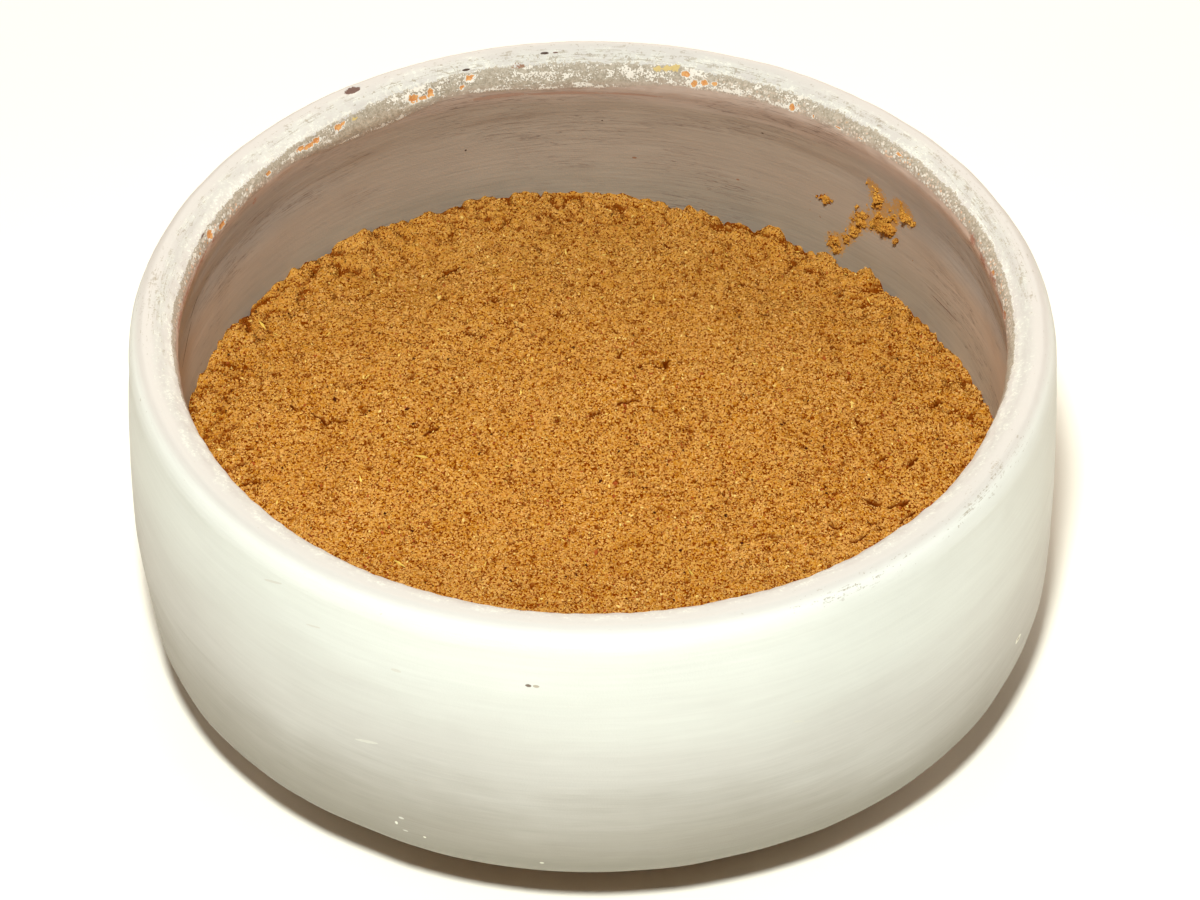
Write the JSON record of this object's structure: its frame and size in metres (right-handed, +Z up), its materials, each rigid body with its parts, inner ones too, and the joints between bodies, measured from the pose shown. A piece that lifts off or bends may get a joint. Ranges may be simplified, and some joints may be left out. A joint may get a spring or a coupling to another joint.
{
  "type": "bowl of ras el hanout",
  "caption": "Small round clay bowl with a low upright wall, rounded lower edge and thick rounded rim, part filled with a heap of finely ground ras el hanout.",
  "frame": {"origin": "middle of the flat foot, on the surface that the bowl stands on", "axes": "+Z up along the bowl's axis, -Y towards the viewer, +X to the viewer's right; the spice lies higher towards -X"},
  "size_m": [0.0998, 0.1002, 0.0411],
  "materials": {
    "painted_clay": "chalky white hand-brushed paint over terracotta, taupe paint inside, worn along the rim",
    "ground_spice": "dry ochre-brown ground spice, crumbly and dull, with pale slivers and dark specks"
  },
  "bodies": {
    "root": {"bowl": "painted_clay", "ras_el_hanout": "ground_spice"}
  },
  "joints": []
}
